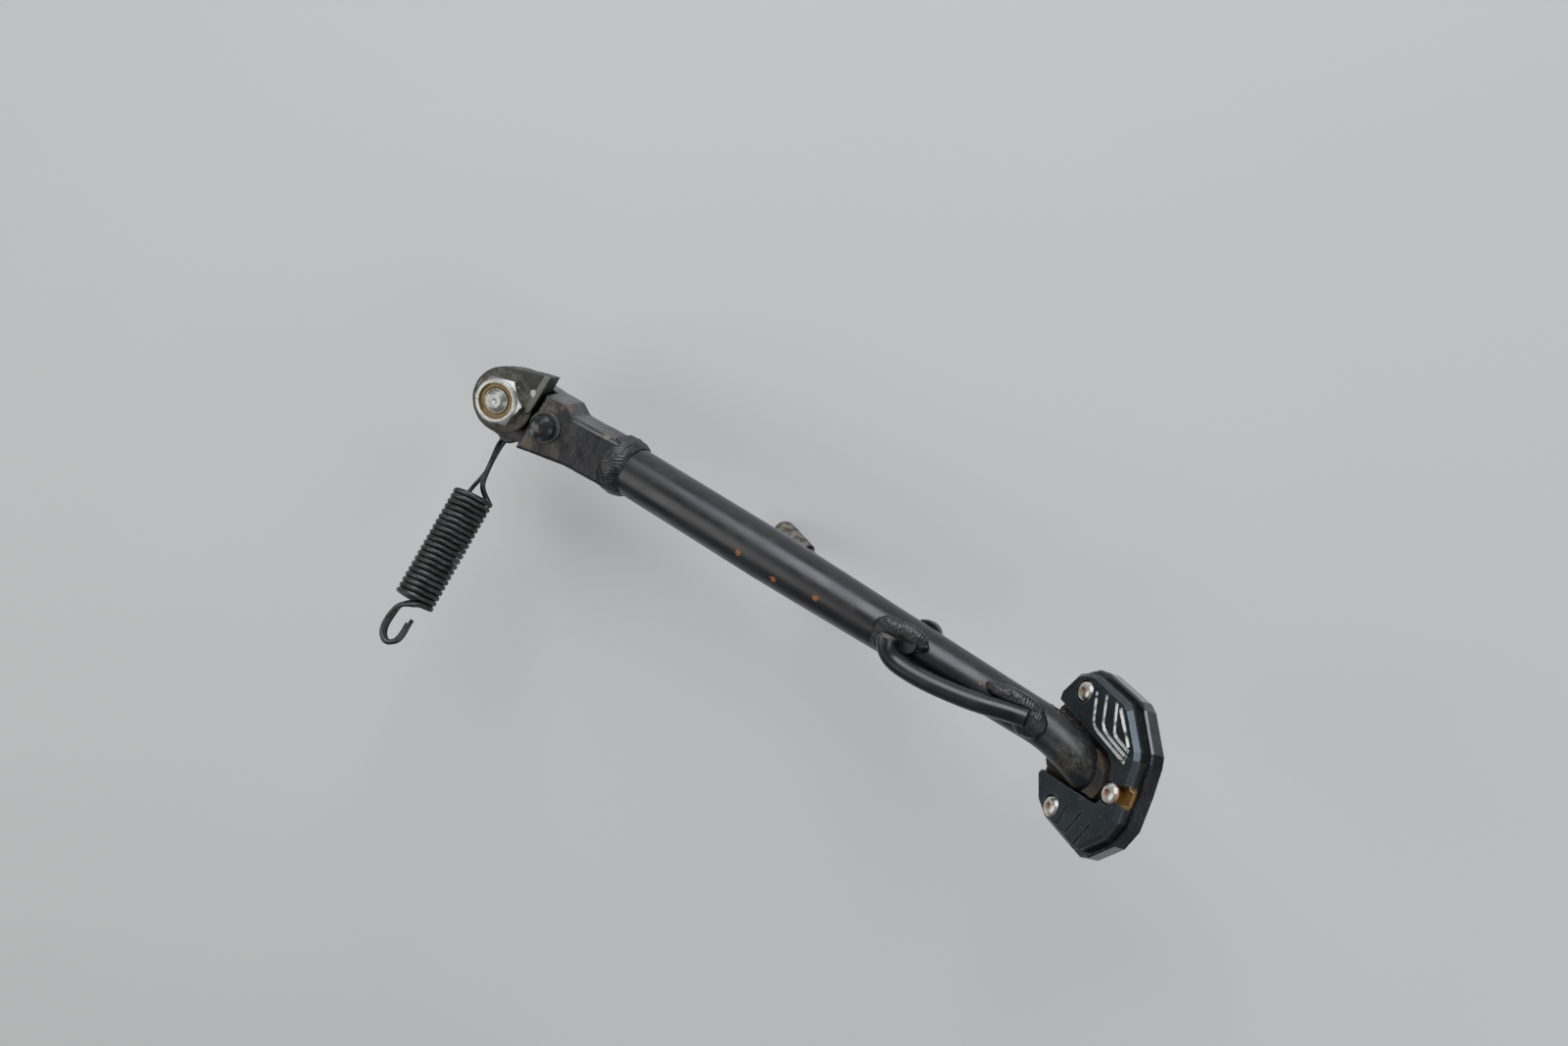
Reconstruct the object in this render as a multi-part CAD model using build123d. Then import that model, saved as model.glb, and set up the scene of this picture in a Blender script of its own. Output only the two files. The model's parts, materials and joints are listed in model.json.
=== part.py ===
from build123d import *
import os
import math

# Motorcycle side stand: frame lug, pivot bolt and nut, forged head, tapered
# tube leg with a kick tang and a rest prong, twin return springs, and a foot
# plate held between the two halves of a wide pad.
# Millimetres.  Origin on the pivot axis at mid thickness of the forged head.
# +Z runs along the pivot bolt towards its nut, +X from the pivot towards the
# foot, +Y completes the frame.  "Near" is the +Z side, "far" the -Z side.

# ---------------------------------------------------------------- dimensions
HEAD_T = 25.0                 # head thickness across the pivot axis
FAR_Z = -HEAD_T / 2
NEAR_Z = HEAD_T / 2
TONGUE_TOP = -1.2             # near face of the half-lap tongue
TONGUE_R = 18.2
TONGUE_CY = -2.4
TONGUE_CORNER = (0.9, -20.58)  # start of the sloping -Y edge
TONGUE_SLOPE = 0.1358         # slope of that edge
BLOCK_YP = 9.2                # head block, +Y face
BLOCK_YM = -15.0              # head block, -Y face
BLOCK_XE = 66.0               # head block end
EAR_TOP = -5.0                # near face of the spring pin ear

LUG_T = 11.5                  # frame lug thickness
LUG_R = 16.6                  # lug eye radius
LUG_RIDGE = 1.2               # height of the raised stop lip on the lug
LIP_W = 3.4                   # width of that lip
SHOULDER_TILT = math.radians(8.0)  # tilt of the stop faces from the Y axis
SHOULDER_X = 19.6             # stop shoulder of the head ...
SHOULDER_Y = 11.0             # ... at this height
STOP_GAP = 2.2                # clearance between lug stop face and head shoulder

SHOULDER_D = 16.0             # shoulder of the pivot bolt
THREAD_D = 12.0               # threaded end of the pivot bolt
BUSH_OD = 20.0
RUN = 0.05                    # radial clearance of the bush
WASHER_RUN = 0.08             # radial clearance of the washers
WASHER_GAP = 0.05             # axial clearance between washers and head
FAR_WASHER_Z = FAR_Z - WASHER_GAP
BOLT_SEAT = FAR_WASHER_Z - 1.5  # bolt head seats on the far washer
BOLT_AF = 19.0
BOLT_HEAD_H = 7.5
BOLT_CONE_H = 3.2
NUT_AF = 22.0
NUT_H = 8.2
NUT_TOP = LUG_T + NUT_H
RING_R = 9.1                  # locking ring in the nut
RING_Z = LUG_T + 4.4

STUD = (26.3, -1.5)           # stop stud centre
STUD_R = 4.0                  # stud shank
COLLAR_TOP = NEAR_Z + 1.5
SPRING_PIN = (2.5, -17.6)     # spring pin centre
PIN_R = 3.2                   # pin radius under the springs
PIN_SHANK_R = 3.0

LEG_AT = (70.0, -2.5, 2.5)    # start of the tube axis
SPLAY = 14.2                  # tube splay towards +Z, degrees
YAW = 0.8
TUBE_R0 = 12.7                # tube outer radius at the head
TUBE_R1 = 9.6                 # tube outer radius at the foot
TUBE_WALL = 2.6
TAPER_A = 88.0                # taper start along the tube
TAPER_B = 232.0               # taper end along the tube
BEND_S = 236.0                # start of the end bend
BEND_END = (263.3, -7.0, -0.2)
END_DIR = (0.72, -0.50, -0.48)  # direction of the straight tail
TAIL = 14.0                   # tail length factor along END_DIR

TANG_R = 4.4
PRONG_R = 4.5
PRONG_AT = (172.3, 3.2)       # where the prong crosses the tube, tube frame
CAP_R = 6.0
CAP_START = 0.88              # fraction of the prong where its cap begins

FOOT_AT = (322.6, -0.6, 72.2)  # centre of the pad's top face
FOOT_TILT = 55.5              # pad tilt about Y, degrees
PAD_TOP_T = 6.0
PAD_BASE_T = 7.6
PAD_BOTTOM = -PAD_TOP_T - PAD_BASE_T
PLATE_T = 3.6
PLATE_TOP = -5.6              # top of the raised boss on the foot plate
FOOT_WELD_H = 4.4
SCREW_D = 5.0
SCREW_HEAD_D = 9.3
SCREW_AF = 3.0
SCREW_SEAT = -1.4
SCREWS = [(-23.3, 21.3), (19.4, -2.6), (-6.4, -26.6)]

COIL_A = Vector(1.6, -55.5, 1.0)      # coil body ends on the coil axis
COIL_B = Vector(4.3, -110.5, 25.9)

FAR_OUT = 60.0                # reach of cutting tools beyond the parts

# Local frames of the tube (+X along it) and of the foot (z = 0 on the pad top).
TUBE = Pos(*LEG_AT) * Rot(0, 0, YAW) * Rot(0, -SPLAY, 0)
FOOT = Pos(*FOOT_AT) * Rot(0, -FOOT_TILT, 0)
ALONG = Rot(0, 90, 0)         # turns a +Z solid so that it points along +X

GLOSS = (0.05, 0.05, 0.055)
WELD = (0.07, 0.07, 0.07)
WASHER = (0.55, 0.55, 0.55)
SPRING = (0.13, 0.14, 0.13)
# part name: red, green, blue
COLOURS = {
    "leg_head": (0.06, 0.06, 0.06), "pivot_bush": (0.6, 0.45, 0.2),
    "thrust_washer_near": WASHER, "thrust_washer_far": WASHER,
    "pivot_bolt": (0.6, 0.58, 0.5), "pivot_nut": (0.75, 0.74, 0.7),
    "nut_locking_ring": (0.45, 0.33, 0.15), "frame_lug": (0.4, 0.38, 0.32),
    "stud_collar": (0.1, 0.1, 0.1), "stop_stud": GLOSS, "spring_pin": (0.3, 0.3, 0.3),
    "leg_tube": GLOSS, "head_weld": WELD, "kick_tang": GLOSS, "rest_prong": GLOSS,
    "prong_cap": (0.25, 0.23, 0.2), "tang_weld_front": WELD, "tang_weld_rear": WELD,
    "prong_weld": WELD, "pad_top": (0.12, 0.14, 0.15), "foot_plate": (0.2, 0.17, 0.12),
    "foot_weld": (0.25, 0.2, 0.13), "pad_base": (0.02, 0.02, 0.02),
    "pad_screws": (0.7, 0.66, 0.55), "spring_outer": SPRING, "spring_inner": SPRING,
}


# ---------------------------------------------------------------- helpers
def save(shape, name):
    shape.label = name
    shape.color = Color(*COLOURS[name])
    export_step(shape, "parts/" + name + ".step")


STANDING = (Align.CENTER, Align.CENTER, Align.MIN)


def cyl(r, z0, z1, x=0.0, y=0.0):
    return Pos(x, y, z0) * Cylinder(r, z1 - z0, align=STANDING)


def bore(r):
    """Cutter right through on the pivot axis."""
    return cyl(r, -FAR_OUT, FAR_OUT)


def cone(r0, r1, z0, height):
    return Pos(0, 0, z0) * Cone(r0, r1, height, align=STANDING)


def slab(points, z0, z1):
    return Pos(0, 0, z0) * extrude(make_face(Polyline(*points, close=True)), z1 - z0)


def turned(points):
    """Solid of revolution about Z from (radius, z) points."""
    return revolve(Plane.XZ * make_face(Polyline(*points, close=True)), Axis.Z)


def hexagon(across_flats):
    return RegularPolygon(across_flats / math.sqrt(3), 6)


def pipe(path, r):
    return sweep(Plane(origin=path @ 0, z_dir=path % 0) * Circle(r), path=path)


def largest(shape):
    return max(shape.solids(), key=lambda solid: solid.volume)


def edges_at(shape, z, min_length=0.0):
    return shape.edges().filter_by(
        lambda e: abs(e.center().Z - z) < 0.01 and e.length > min_length)


def soften(operation, shape, edges, *sizes):
    """Fillet or chamfer with the first size the kernel accepts, else leave the shape."""
    for size in sizes:
        try:
            return operation(edges, size)
        except Exception:  # the kernel can refuse a size on these edges
            continue
    return shape


def stop_x(y, shift=0.0):
    """x of the tilted stop line at height y, moved along its own normal."""
    return (SHOULDER_X + (y - SHOULDER_Y) * math.tan(SHOULDER_TILT)
            + shift / math.cos(SHOULDER_TILT))


# ---------------------------------------------------------------- head and lug
def forged_head():
    block = [(31, 13.2), (36.5, BLOCK_YP), (BLOCK_XE, BLOCK_YP),
             (BLOCK_XE, BLOCK_YM), (42, BLOCK_YM)]
    tongue = [(0, 15.8), (20, 13.4), *block, TONGUE_CORNER, (-4, -12), (-4, 10)]
    low_x = stop_x(-18.6)
    low_y = TONGUE_CORNER[1] + TONGUE_SLOPE * (low_x - TONGUE_CORNER[0])
    near = [(stop_x(13.4), 13.4), *block, (low_x, low_y)]
    far_half = cyl(TONGUE_R, FAR_Z, TONGUE_TOP, 0, TONGUE_CY) + slab(tongue, FAR_Z, TONGUE_TOP)
    head = far_half + slab(near, TONGUE_TOP - 0.5, NEAR_Z)

    long_edges = head.edges().filter_by(
        lambda e: e.length > 18 and abs(abs(e.center().Z) - HEAD_T / 2) < 0.01
        and e.geom_type == GeomType.LINE)
    head = soften(fillet, head, long_edges, 2.6, 1.2)
    end_edges = head.edges().filter_by(lambda e: abs(e.center().X - BLOCK_XE) < 0.01)
    head = soften(chamfer, head, end_edges, 1.6)

    # ear that carries the spring pin
    ear = cyl(6.2, FAR_Z, EAR_TOP, *SPRING_PIN)
    ear += slab([(-6, -8), (10, -8), (8.6, -18.5), (-3.6, -18.5)], FAR_Z, EAR_TOP)
    head = head + ear
    # spigot that centres the tube, kept only beyond x = 62
    spigot = TUBE * (ALONG * cyl(TUBE_R0 - TUBE_WALL - 0.1, -10.0, 14.0))
    head = head + (spigot - slab([(-40, -60), (62, -60), (62, 60), (-40, 60)], -60, 60))
    # bores: bush, stop stud, spring pin
    head = head - bore(BUSH_OD / 2)
    head = head - cyl(STUD_R, 3.5, 30, *STUD)
    return head - cyl(PIN_SHANK_R, -30, -6.5, *SPRING_PIN)


def frame_lug():
    lip_top = LUG_T + LUG_RIDGE
    face = [(stop_x(21.2, -STOP_GAP), 21.6), (stop_x(0.9, -STOP_GAP), 0.9)]
    lug = cyl(LUG_R, 0, LUG_T)
    lug += slab([(-5.0, 15.83), (11.1, 20.2), *face, (13.9, -9.0), (0, 0)], 0, LUG_T)
    lug = soften(fillet, lug, edges_at(lug, LUG_T, 14), 1.0)
    ridge = slab([(stop_x(21.0, -STOP_GAP - LIP_W), 21.3), *face,
                  (stop_x(0.2, -STOP_GAP - LIP_W), -0.2)], LUG_T - 2.5, lip_top)
    ridge = soften(fillet, ridge, edges_at(ridge, lip_top, 10), 0.5)
    # clear the lip around the nut
    lug = lug + (ridge - cyl(13.4, LUG_T, LUG_T + 5))
    return lug - bore(THREAD_D / 2 + 0.1)


# ---------------------------------------------------------------- pivot parts
def pivot_bush():
    bush = cyl(BUSH_OD / 2, FAR_Z, TONGUE_TOP) - bore(SHOULDER_D / 2 + RUN)
    circles = bush.edges().filter_by(GeomType.CIRCLE)
    return chamfer(circles.group_by(lambda e: round(e.radius, 2))[0], 0.3)


def washer(r, z0, z1):
    return cyl(r, z0, z1) - bore(SHOULDER_D / 2 + WASHER_RUN)


def pivot_bolt():
    thread_r = THREAD_D / 2 - 0.02
    bolt = cyl(SHOULDER_D / 2, BOLT_SEAT - 0.5, 0.0)
    bolt += cyl(thread_r, -0.5, NUT_TOP - 1.0)
    # domed end with a small centre dimple
    bolt += turned([(0, NUT_TOP - 1.2), (thread_r, NUT_TOP - 1.2), (4.6, NUT_TOP + 0.5),
                    (3.2, NUT_TOP + 1.0), (1.3, NUT_TOP + 0.95), (0, NUT_TOP + 0.15)])
    head_z = BOLT_SEAT - BOLT_HEAD_H
    hex_head = Pos(0, 0, head_z) * extrude(hexagon(BOLT_AF), BOLT_HEAD_H)
    hex_head = hex_head & (cone(9.2, 12.4, head_z, BOLT_CONE_H)
                           + cyl(13, head_z + BOLT_CONE_H, BOLT_SEAT))
    bolt += hex_head
    bolt += cyl(11.2, BOLT_SEAT - 1.6, BOLT_SEAT)     # flange
    bolt -= cyl(4.2, BOLT_SEAT - 9, BOLT_SEAT - 6.2)  # recess in the head
    return bolt


def pivot_nut():
    wide_r, top_r = 13.2, 10.9
    cone_z, cone_h = LUG_T + 4.6, 1.5
    nut = Pos(0, 0, LUG_T) * extrude(Rot(0, 0, 12) * hexagon(NUT_AF), NUT_H)
    nut = nut & (cyl(wide_r, LUG_T, cone_z) + cone(wide_r, top_r, cone_z, cone_h)
                 + cyl(top_r, cone_z + cone_h, NUT_TOP))
    rim = edges_at(nut, NUT_TOP).filter_by(GeomType.CIRCLE)
    nut = soften(fillet, nut, rim, 0.9)
    return nut - cyl(RING_R, RING_Z, FAR_OUT) - bore(THREAD_D / 2)


def locking_ring():
    ring = cyl(RING_R, RING_Z, RING_Z + 2.4) - bore(THREAD_D / 2)
    inner_rim = edges_at(ring, RING_Z + 2.4).filter_by(lambda e: e.radius < 7)
    return chamfer(inner_rim, 0.6)


# ---------------------------------------------------------------- stud and spring pin
def stud_collar():
    collar = Pos(*STUD, 0) * (cyl(8.1, NEAR_Z, COLLAR_TOP) - bore(STUD_R))
    return chamfer(edges_at(collar, COLLAR_TOP).filter_by(lambda e: e.radius > 5), 0.5)


def stop_stud():
    top = COLLAR_TOP
    return Pos(*STUD, 0) * turned([
        (0, 3.6), (STUD_R, 3.6), (STUD_R, top), (6.5, top), (6.65, top + 1.6),
        (6.1, top + 3.6), (4.6, top + 5.2), (2.4, top + 6.0), (0, top + 6.2)])


def spring_pin():
    return Pos(*SPRING_PIN, 0) * turned([
        (0, -6.6), (PIN_SHANK_R, -6.6), (PIN_SHANK_R, FAR_Z), (4.6, FAR_Z),
        (4.6, FAR_Z - 0.8), (PIN_R, FAR_Z - 1.2), (PIN_R, -20.2), (5.2, -20.9),
        (5.2, -22.2), (4.4, -23.0), (0, -23.0)])


# ---------------------------------------------------------------- leg, in the tube frame
# x, y, z along the centre of the tang
TANG_POINTS = [
    (164.3, 2.6, 18.2), (165.2, -0.6, 17.9), (168.6, -4.4, 17.2),
    (177.9, -6.3, 16.9), (187.6, -6.0, 16.6), (199.2, -4.7, 15.6),
    (212.3, -2.4, 14.2), (224.3, 0.6, 12.6), (232.5, 2.2, 11.6)]
# x, y, z along the centre of the prong: through the tube, then back towards the head
PRONG_POINTS = [
    (*PRONG_AT, 14.0), (*PRONG_AT, 4.0), (*PRONG_AT, -6.0), (172.0, 2.7, -15.0),
    (169.0, 0.4, -24.0), (162.0, -3.4, -31.5), (150.0, -7.2, -37.5), (132.0, -10.0, -44.5),
    (112.0, -10.8, -52.5), (84.0, -8.2, -62.5), (62.0, -4.6, -68.8)]
# x, y, z, then radii in x, y, z of the ellipsoids that make up each tang weld
FRONT_BLOBS = [
    (163.0, 3.0, 11.4, 9.0, 6.6, 3.6),
    (171.5, 5.6, 11.2, 9.5, 5.2, 3.2),
    (160.0, -1.5, 11.5, 5.0, 5.0, 2.8)]
REAR_BLOBS = [
    (226.0, 5.0, 9.4, 13.0, 5.6, 3.6),
    (233.5, 1.0, 9.0, 8.0, 7.4, 4.6),
    (219.0, 5.5, 9.6, 9.0, 3.4, 3.2)]


def leg_body(inset, start):
    """Solid leg with its radius reduced by inset: tapered run, bend and tail."""
    r0 = TUBE_R0 - inset
    r1 = TUBE_R1 - inset
    straight = ALONG * turned([
        (0, start), (r0, start), (r0, TAPER_A), (r0 - 0.35, TAPER_A + 22),
        (r1 + 0.25, TAPER_B - 16), (r1, TAPER_B), (r1, BEND_S), (0, BEND_S)])
    bend = Spline((BEND_S, 0, 0), BEND_END, tangents=[(1, 0, 0), END_DIR])
    tail = Line(BEND_END, tuple(p + d * TAIL for p, d in zip(BEND_END, END_DIR)))
    return straight + pipe(bend, r1) + pipe(tail, r1)


def leg_tube(outer, inner, below_plate):
    prong_hole = TUBE * (Pos(*PRONG_AT, 0) * Cylinder(PRONG_R + 0.15, 60))
    return outer - inner - below_plate - prong_hole


def head_weld(head, tube_solid):
    bead = turned([(8, -9.5), (13.6, -9.0), (15.0, -6.0), (15.4, -2.5), (15.2, 0.5),
                   (14.2, 3.4), (12.9, 5.2), (11, 5.6), (8, 5.6)])
    weld = TUBE * (ALONG * bead)
    weld = weld - head - tube_solid - TUBE * (ALONG * cyl(TUBE_R0 - TUBE_WALL, -12, 12))
    weld = weld - slab([(-40, -60), (59.5, -60), (59.5, 60), (-40, 60)], -60, 60)
    return largest(weld)


def prong_cap():
    """Round-nosed cap over the end of the prong."""
    path = Spline(*PRONG_POINTS)
    end = path @ 1.0
    cap = pipe(path.trim(CAP_START, 1.0), CAP_R)
    cap = cap + Pos(end.X, end.Y, end.Z) * Sphere(CAP_R)
    return TUBE * largest(cap - pipe(path, PRONG_R))


def blob(x, y, z, rx, ry, rz):
    return Pos(x, y, z) * scale(Sphere(1.0), by=(rx, ry, rz))


def tang_weld(blobs, *neighbours):
    weld = blob(*blobs[0])
    for entry in blobs[1:]:
        weld = weld + blob(*entry)
    weld = TUBE * weld
    for neighbour in neighbours:
        weld = weld - neighbour
    return largest(weld)


def prong_weld(tube_solid, prong):
    """Collar round the prong on the -Z side of the tube."""
    weld = turned([(PRONG_R, 6.0), (8.6, 6.0), (8.0, 11.0), (6.2, 13.4), (PRONG_R, 14.4)])
    weld = TUBE * (Pos(*PRONG_AT, 0) * Rot(180, 0, 0) * weld) - tube_solid - prong
    return largest(weld)


# ---------------------------------------------------------------- foot, in the foot frame
# x, y outlines
PAD_OUTLINE = [
    (-36.5, 10.6), (-37.5, 14.0), (-33.0, 25.0), (-27.6, 28.6), (-22.0, 30.2),
    (2.0, 30.6), (5.8, 29.4), (21.4, 18.8), (23.6, 15.6), (27.3, 4.2),
    (30.4, -9.4), (28.4, -18.2), (19.4, -30.0), (15.6, -32.2), (-7.8, -32.6),
    (-16.4, -29.8), (-25.2, -21.2), (-24.6, -19.0), (-22.2, -18.4)]
# closes the outline as a slot open towards -X
PAD_SLOT = [(16.0, -10.6), (17.2, -7.0), (16.4, 1.0), (12.5, 7.6), (6.0, 9.6)]
PLATE_OUTLINE = [
    (-39.5, 6.0), (-37.0, 9.4), (-20, 12.4), (4, 12.6), (11.6, 9.4), (16.2, 2.0),
    (16.2, -6.5), (11.0, -15.4), (-8.0, -17.8), (-24.0, -19.2), (-29.0, -18.2),
    (-32.6, -14.6)]
BOSS_OUTLINE = [
    (-28, 7.6), (3, 8.2), (10, 6.8), (14.4, 0.6), (14.2, -6.6), (10.6, -10.0),
    (-6, -12.2), (-27, -15.6)]
BASE_OUTLINE = [
    (-37.0, 11.0), (-38.6, 14.6), (-34.4, 26.6), (-28.8, 31.0), (-22.4, 32.8),
    (2.4, 33.2), (7.2, 31.6), (23.2, 20.4), (25.6, 16.4), (29.4, 4.6),
    (32.6, -9.6), (30.4, -19.4), (21.0, -32.0), (16.6, -34.6), (-8.4, -35.0),
    (-18.0, -31.8), (-27.2, -22.4)]
# x, y centre lines of the grooves on the +Y and -Y sides of the slot
UPPER_GROOVES = [
    [(-17.6, 26.4), (-9.6, 14.9), (-7.9, 13.4), (-5.4, 12.7), (18.6, 11.3)],
    [(-10.2, 27.0), (-3.8, 17.0), (-1.4, 15.3), (2.2, 14.5), (18.2, 13.5)],
    [(-2.6, 27.6), (4.4, 17.9), (6.2, 16.8), (9.0, 16.4), (17.6, 15.9)]]
LOWER_GROOVES = [
    [(2.2, -19.0), (2.0, -30.0)],
    [(11.9, -17.2), (9.0, -29.6)],
    [(19.4, -17.6), (16.8, -29.2)]]


def groove(points, width, depth):
    """Cutter that follows a centre line, offset half the width to either side."""
    left, right = [], []
    for i, (x, y) in enumerate(points):
        dx = dy = 0.0
        # sum of the unit directions of the segments that meet here
        for j in (i - 1, i):
            if 0 <= j < len(points) - 1:
                (x0, y0), (x1, y1) = points[j], points[j + 1]
                length = math.hypot(x1 - x0, y1 - y0)
                dx += (x1 - x0) / length
                dy += (y1 - y0) / length
        reach = width / 2 / math.hypot(dx, dy)
        left.append((x - dy * reach, y + dx * reach))
        right.append((x + dy * reach, y - dx * reach))
    return slab(left + right[::-1], -depth, 3.0)


def on_rim(edge):
    """True for the outer edges of the pad top, false for those of the slot."""
    c = edge.center()
    return ((c.X > 2.0 and (c.Y > 9.7 or c.Y < -12 or c.X > 17.5))
            or c.Y > 20 or c.Y < -20 or c.X < -30)


def pad_top(tube_solid):
    pad = slab(PAD_OUTLINE + PAD_SLOT, -PAD_TOP_T, 0)
    rim = [e for e in edges_at(pad, 0) if on_rim(e)]
    try:
        pad = chamfer(rim, 1.8)
    except Exception:  # short edges may not take the full chamfer
        pad = chamfer([e for e in rim if e.length > 8], 1.2)
    for x, y in SCREWS:
        pad -= cyl(SCREW_D / 2 + 0.25, -20, 5, x, y)
        pad -= cyl(SCREW_HEAD_D / 2 + 0.45, SCREW_SEAT, 5, x, y)
    for points in UPPER_GROOVES:
        pad -= groove(points, width=1.5, depth=1.0)
    for points in LOWER_GROOVES:
        pad -= groove(points, width=1.3, depth=0.7)
    # shallow flat recess beside the upper grooves
    pad -= slab([(1.6, 27.6), (16.6, 18.0), (15.6, 16.8), (0.4, 26.2)], -0.7, 3.0)
    # skewed pocket at the +X edge, beside a screw
    pad -= Pos(25.6, 0.6, 0.5) * Rot(0, 0, 34) * Box(6.4, 7.6, 9.0)
    pad = largest(pad)
    # room for the tail of the tube
    tail_frame = Plane(origin=BEND_END, z_dir=END_DIR).location
    relief = TUBE * (tail_frame * Cylinder(TUBE_R1 + 0.35, 40.0))
    return largest(FOOT * pad - relief - tube_solid)


def foot_plate():
    """Plate clamped between the pad halves, with a low boss in the pad slot."""
    plate = slab(PLATE_OUTLINE, -PAD_TOP_T - PLATE_T, -PAD_TOP_T)
    plate = plate + slab(BOSS_OUTLINE, -PAD_TOP_T - 0.2, PLATE_TOP)
    corners = plate.edges().filter_by(Axis.Z).filter_by(lambda e: e.length > 3)
    return FOOT * soften(fillet, plate, corners, 2.0)


def foot_weld(tube_solid, inner):
    oval = scale(Cylinder(10.0, FOOT_WELD_H, align=STANDING), by=(1.52, 1.16, 1.0))
    weld = FOOT * (Pos(-2.4, -5.4, PLATE_TOP) * oval)
    limit = FOOT * slab([(-20, 8.6), (11.6, 8.6), (15.6, 0.4), (15.4, -8.4), (13.0, -10.4),
                         (-20, -16.0)], PLATE_TOP, PLATE_TOP + FOOT_WELD_H)
    weld = largest((weld & limit) - tube_solid - inner)
    curved = weld.edges().filter_by(lambda e: e.length > 9 and e.geom_type != GeomType.LINE)
    return soften(chamfer, weld, curved, 0.8)


def grown(points, distance):
    """Move each point away from the mean of all the points."""
    cx = sum(x for x, y in points) / len(points)
    cy = sum(y for x, y in points) / len(points)
    moved = []
    for x, y in points:
        factor = distance / math.hypot(x - cx, y - cy)
        moved.append((x + (x - cx) * factor, y + (y - cy) * factor))
    return moved


def pad_base():
    base = slab(BASE_OUTLINE, PAD_BOTTOM, -PAD_TOP_T)
    base = soften(chamfer, base, edges_at(base, PAD_BOTTOM), 1.4)
    base = soften(chamfer, base, edges_at(base, -PAD_TOP_T), 0.7)
    # recess for the foot plate, opened towards -X
    floor = -PAD_TOP_T - PLATE_T - 0.1
    for points in (grown(PLATE_OUTLINE, 0.5),
                   [(-60, 8.4), (-30, 11.5), (-30, -19.6), (-60, -16)]):
        base -= slab(points, floor, -PAD_TOP_T + 1)
    for x, y in SCREWS:
        base -= cyl(SCREW_D / 2, -PAD_TOP_T - 5.6, 5, x, y)
    # shallow channels on the underside
    for k in range(-2, 3):
        base -= Pos(-2 + 10.5 * k, -1.0, PAD_BOTTOM) * Box(2.0, 44.0, 1.6)
    return FOOT * largest(base)


def pad_screws():
    """Button-head screws with hexagon sockets."""
    shank_r = SCREW_D / 2 - 0.02
    head_r = SCREW_HEAD_D / 2
    tip = -PAD_TOP_T - 5.2
    screws = []
    for x, y in SCREWS:
        screw = turned([(0, tip), (shank_r, tip), (shank_r, SCREW_SEAT), (head_r, SCREW_SEAT),
                        (head_r - 0.1, -0.5), (head_r - 0.9, 0.5), (head_r - 2.0, 1.1),
                        (0, 1.3)])
        screw = screw - Pos(0, 0, -0.7) * extrude(hexagon(SCREW_AF), 4)
        screws.append(FOOT * (Pos(x, y, 0) * screw))
    return Compound(children=screws)


# ---------------------------------------------------------------- springs
COIL_L = (COIL_B - COIL_A).length
COIL_AXIS = (COIL_B - COIL_A).normalized()
COIL_X = Vector(1, 0, 0)
COIL_X = (COIL_X - COIL_AXIS * COIL_X.dot(COIL_AXIS)).normalized()
COIL = Plane(origin=COIL_A, x_dir=COIL_X, z_dir=COIL_AXIS)

# x, y, z in the coil frame: leg from the pin to the coil, hook beyond the coil
OUTER_LEG = [
    (-1.7, 0.9, -31.0), (-0.9, 0.8, -22.0), (-0.2, 0.2, -13.0),
    (0.8, -1.6, -7.4), (3.4, -4.4, -4.0), (6.6, -5.2, -1.6)]
OUTER_HOOK = [
    (4.2, 7.8, 61.9), (0.2, 7.4, 63.4), (-4.2, 5.0, 66.6), (-6.4, 2.6, 71.4),
    (-6.9, 1.6, 77.6), (-5.3, 1.3, 82.0), (-1.7, 1.1, 84.2), (2.0, 0.9, 82.0),
    (3.3, 0.8, 77.6), (3.5, 0.6, 71.5)]
INNER_LEG = [
    (-2.0, -3.7, -31.0), (-2.0, -3.4, -22.0), (-2.4, -3.6, -14.0),
    (-3.6, -3.4, -8.0), (-4.8, -3.9, -3.2)]
INNER_HOOK = [
    (2.6, 5.2, 60.9), (-0.6, 4.2, 62.2), (-4.4, 1.4, 65.6), (-6.3, -1.2, 71.0),
    (-6.7, -2.0, 77.4), (-5.1, -2.2, 81.8), (-1.7, -2.4, 83.8), (1.8, -2.6, 81.8),
    (3.1, -2.7, 77.4), (3.3, -2.8, 69.0)]


def spring(wire, od, turns, inset, loop_z, phase, leg, hook):
    """One wire: pin loop, leg, close coil, hook.  Inset shortens each coil end."""
    r = od / 2 - wire / 2
    start = inset
    end = COIL_L - inset
    pitch = (end - start) / turns
    end_phase = phase + 360 * turns
    coil = Helix(pitch=pitch, height=end - start, radius=r)
    helix = COIL.location * (Pos(0, 0, start) * Rot(0, 0, phase) * coil)

    def on_helix(degrees, z):
        a = math.radians(degrees)
        return COIL.from_local_coords(Vector(r * math.cos(a), r * math.sin(a), z))

    pin_x, pin_y = SPRING_PIN
    loop_r = PIN_R + 0.12 + wire / 2
    upper = []
    for degrees in range(-44, 181, 16):
        a = math.radians(degrees)
        upper.append(Vector(pin_x + loop_r * math.cos(a), pin_y + loop_r * math.sin(a), loop_z))
    upper.append(Vector(pin_x - loop_r, pin_y - 6.2, loop_z))
    upper += [COIL.from_local_coords(Vector(*p)) for p in leg]
    upper += [on_helix(phase - d, start - pitch * d / 360) for d in (36, 24, 14, 6)]
    upper_path = Spline(*upper, helix @ 0)

    lower = [helix @ 1]
    lower += [on_helix(end_phase + d, end + pitch * d / 360) for d in (6, 14, 24)]
    lower += [COIL.from_local_coords(Vector(*p)) for p in hook]
    lower_path = Spline(*lower)

    path = Wire([Edge(upper_path.wrapped), Edge(helix.edges()[0].wrapped),
                 Edge(lower_path.wrapped)])
    section = Plane(origin=upper_path @ 0, z_dir=upper_path % 0) * Circle(wire / 2)
    return sweep(section, path=path)


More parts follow.
